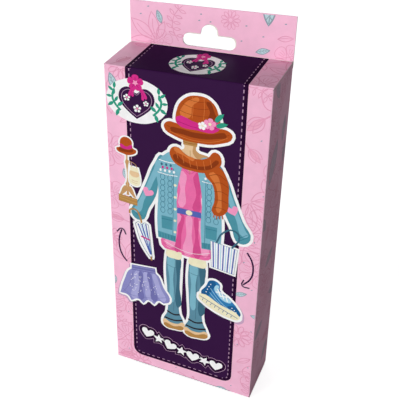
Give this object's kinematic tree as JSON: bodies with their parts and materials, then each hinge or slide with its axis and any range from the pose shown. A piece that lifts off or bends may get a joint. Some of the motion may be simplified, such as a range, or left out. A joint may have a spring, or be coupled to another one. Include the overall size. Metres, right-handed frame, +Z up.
{
  "type": "magnetic dress-up doll",
  "caption": "Plywood doll in a slotted stand with a die-cut sheet of magnetic garments, packed in a tuck-end carton with a hanging header.",
  "frame": {"origin": "centre of the carton's footprint, on the surface that it stands on", "axes": "+Z up along the carton's height, -Y out of the printed front, +X to the right seen from the front"},
  "size_m": [0.1, 0.039, 0.257],
  "materials": {
    "printed_board": "folding boxboard, offset printed and gloss varnished outside, bare grey-white inside",
    "printed_lid": "folding boxboard, offset printed and gloss varnished outside, bare grey-white inside",
    "bare_board": "uncoated back of folding boxboard",
    "fitment_card": "uncoated white-lined card",
    "magnet_sheet": "flexible magnetic sheet faced with white satin vinyl",
    "garment_print": "flexible magnetic sheet faced with printed satin vinyl",
    "beech": "sanded bare beech",
    "plywood": "laser-cut birch plywood",
    "steel_face": "thin steel sheet, printed"
  },
  "bodies": {
    "carton": {"front_panel": "printed_board", "back_panel": "printed_board", "left_side_panel": "printed_board", "right_side_panel": "printed_board", "glue_flap": "bare_board", "inner_fitment": "fitment_card", "magnet_sheet": "magnet_sheet", "stand_block": "beech"},
    "top_lid": {"top_lid": "printed_lid"},
    "top_tuck_flap": {"top_tuck_flap": "printed_lid"},
    "top_dust_flap_left": {"top_dust_flap_left": "printed_board"},
    "top_dust_flap_right": {"top_dust_flap_right": "printed_board"},
    "bottom_lid": {"bottom_lid": "printed_lid"},
    "bottom_tuck_flap": {"bottom_tuck_flap": "printed_lid"},
    "bottom_dust_flap_left": {"bottom_dust_flap_left": "printed_board"},
    "bottom_dust_flap_right": {"bottom_dust_flap_right": "printed_board"},
    "doll": {"doll_board": "plywood", "doll_steel_face": "steel_face"},
    "hat": {"hat": "garment_print"},
    "sunglasses": {"sunglasses": "garment_print"},
    "jacket": {"jacket": "garment_print"},
    "blouse": {"blouse": "garment_print"},
    "dress": {"dress": "garment_print"},
    "trousers": {"trousers": "garment_print"},
    "skirt": {"skirt": "garment_print"},
    "handbag": {"handbag": "garment_print"},
    "shoe_left": {"shoe_left": "garment_print"},
    "shoe_right": {"shoe_right": "garment_print"}
  },
  "joints": [
    {"name": "top_lid_hinge", "type": "hinge", "parent": "carton", "child": "top_lid", "pos_m": [0, -0.0195, 0.231], "axis": [1, 0, 0], "range_deg": [0, 255]},
    {"name": "top_tuck_hinge", "type": "hinge", "parent": "top_lid", "child": "top_tuck_flap", "pos_m": [0, 0.0182, 0.231], "axis": [-1, 0, 0], "range_deg": [0, 30]},
    {"name": "top_dust_left_hinge", "type": "hinge", "parent": "carton", "child": "top_dust_flap_left", "pos_m": [-0.05, 0, 0.2302], "axis": [0, -1, 0], "range_deg": [0, 77]},
    {"name": "top_dust_right_hinge", "type": "hinge", "parent": "carton", "child": "top_dust_flap_right", "pos_m": [0.05, 0, 0.2302], "axis": [0, 1, 0], "range_deg": [0, 77]},
    {"name": "bottom_lid_hinge", "type": "hinge", "parent": "carton", "child": "bottom_lid", "pos_m": [0, -0.0195, 0], "axis": [-1, 0, 0], "range_deg": [0, 255]},
    {"name": "bottom_tuck_hinge", "type": "hinge", "parent": "bottom_lid", "child": "bottom_tuck_flap", "pos_m": [0, 0.0182, 0], "axis": [1, 0, 0], "range_deg": [0, 30]},
    {"name": "bottom_dust_left_hinge", "type": "hinge", "parent": "carton", "child": "bottom_dust_flap_left", "pos_m": [-0.05, 0, 0.0008], "axis": [0, 1, 0], "range_deg": [0, 77]},
    {"name": "bottom_dust_right_hinge", "type": "hinge", "parent": "carton", "child": "bottom_dust_flap_right", "pos_m": [0.05, 0, 0.0008], "axis": [0, -1, 0], "range_deg": [0, 77]},
    {"name": "doll_lift", "type": "slide", "parent": "carton", "child": "doll", "axis": [0, 0, 1], "range_m": [0, 0.012]},
    {"name": "hat_press_out", "type": "slide", "parent": "carton", "child": "hat", "axis": [0, -1, 0], "range_m": [0, 0.006]},
    {"name": "sunglasses_press_out", "type": "slide", "parent": "carton", "child": "sunglasses", "axis": [0, -1, 0], "range_m": [0, 0.006]},
    {"name": "jacket_press_out", "type": "slide", "parent": "carton", "child": "jacket", "axis": [0, -1, 0], "range_m": [0, 0.006]},
    {"name": "blouse_press_out", "type": "slide", "parent": "carton", "child": "blouse", "axis": [0, -1, 0], "range_m": [0, 0.006]},
    {"name": "dress_press_out", "type": "slide", "parent": "carton", "child": "dress", "axis": [0, -1, 0], "range_m": [0, 0.006]},
    {"name": "trousers_press_out", "type": "slide", "parent": "carton", "child": "trousers", "axis": [0, -1, 0], "range_m": [0, 0.006]},
    {"name": "skirt_press_out", "type": "slide", "parent": "carton", "child": "skirt", "axis": [0, -1, 0], "range_m": [0, 0.006]},
    {"name": "handbag_press_out", "type": "slide", "parent": "carton", "child": "handbag", "axis": [0, -1, 0], "range_m": [0, 0.006]},
    {"name": "shoe_left_press_out", "type": "slide", "parent": "carton", "child": "shoe_left", "axis": [0, -1, 0], "range_m": [0, 0.006]},
    {"name": "shoe_right_press_out", "type": "slide", "parent": "carton", "child": "shoe_right", "axis": [0, -1, 0], "range_m": [0, 0.006]}
  ],
  "couplings": [
    {"joint": "top_dust_left_hinge", "follows": "top_lid_hinge", "ratio": 0.3},
    {"joint": "top_dust_right_hinge", "follows": "top_lid_hinge", "ratio": 0.3},
    {"joint": "bottom_dust_left_hinge", "follows": "bottom_lid_hinge", "ratio": 0.3},
    {"joint": "bottom_dust_right_hinge", "follows": "bottom_lid_hinge", "ratio": 0.3}
  ]
}
